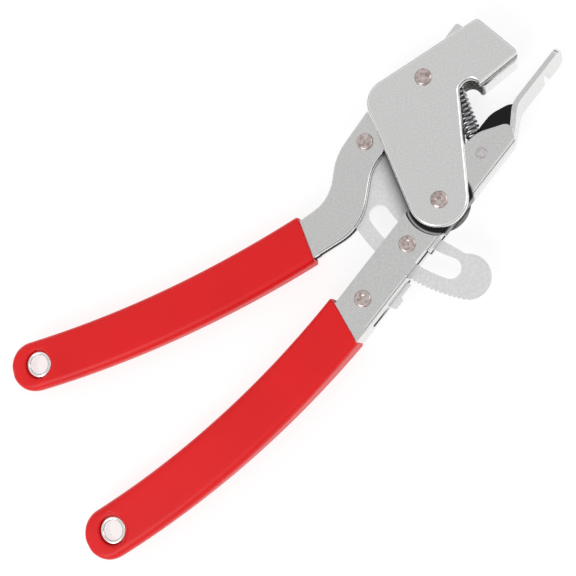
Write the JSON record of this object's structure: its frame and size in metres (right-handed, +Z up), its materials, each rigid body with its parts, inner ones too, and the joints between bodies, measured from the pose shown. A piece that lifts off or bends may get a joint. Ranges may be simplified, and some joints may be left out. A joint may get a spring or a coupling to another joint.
{
  "type": "bicycle cable puller",
  "caption": "Hand pliers that pull a bicycle inner cable tight through a slotted nose, with a pivoting gripping head, a return spring and a ratchet thumb lock.",
  "frame": {"origin": "centre of the tool's footprint, on the surface it lies on", "axes": "+X along the lower lever towards the nose, +Y towards the upper lever, +Z up through the thickness"},
  "size_m": [0.2238, 0.1166, 0.015],
  "materials": {
    "lever_steel": "satin bright plated",
    "head_steel": "satin bright plated",
    "sector_steel": "plated, blanked edges",
    "grip_vinyl": "smooth dipped vinyl, semi-gloss",
    "eyelet_steel": "bright",
    "rivet_steel": "spun rivet head, warm plated",
    "inner_steel": "turned",
    "clamp_steel": "hardened",
    "spring_wire": "bright spring wire"
  },
  "bodies": {
    "lower": {"lower_lever": "lever_steel", "lower_grip": "grip_vinyl", "lower_eyelet": "eyelet_steel", "head_pivot_rivet": "rivet_steel", "head_pivot_bush": "inner_steel", "guide_rivet": "rivet_steel", "guide_roller": "inner_steel", "guide_washers": "inner_steel", "pawl_rivet": "rivet_steel", "pawl_spacer": "inner_steel", "pawl_spring": "spring_wire", "spring_anchor_pin": "rivet_steel", "return_spring": "spring_wire"},
    "head": {"head_shell": "head_steel", "clamp_anvil": "clamp_steel", "lever_pivot_rivet": "rivet_steel", "lever_pivot_washers": "inner_steel"},
    "upper": {"upper_lever": "lever_steel", "upper_grip": "grip_vinyl", "upper_eyelet": "eyelet_steel", "clamp_block": "clamp_steel", "clamp_pin": "inner_steel", "spring_hook_pin": "inner_steel", "sector_rivet": "rivet_steel"},
    "sector": {"sector_plate": "sector_steel"},
    "pawl": {"lock_pawl": "sector_steel"}
  },
  "joints": [
    {"name": "head_pivot", "type": "hinge", "parent": "lower", "child": "head", "pos_m": [0.05259, -0.02972, 0.0075], "axis": [0, 0, 1], "range_deg": [-7, 8], "deforming": ["return_spring"]},
    {"name": "lever_pivot", "type": "hinge", "parent": "head", "child": "upper", "pos_m": [0.08089, -0.00102, 0.0075], "axis": [0, 0, 1], "range_deg": [0, 3], "stiffness_Nm_per_rad": 4, "springref_deg": -3.44},
    {"name": "sector_pivot", "type": "hinge", "parent": "upper", "child": "sector", "pos_m": [0.05379, 0.00218, 0.0075], "axis": [0, 0, 1], "range_deg": [-3, 0]},
    {"name": "pawl_pivot", "type": "hinge", "parent": "lower", "child": "pawl", "pos_m": [0.01319, -0.02992, 0.0075], "axis": [0, 0, 1], "range_deg": [-12, 0], "stiffness_Nm_per_rad": 0.02, "springref_deg": 11.46}
  ],
  "couplings": [
    {"joint": "sector_pivot", "follows": "lever_pivot", "ratio": -1}
  ]
}
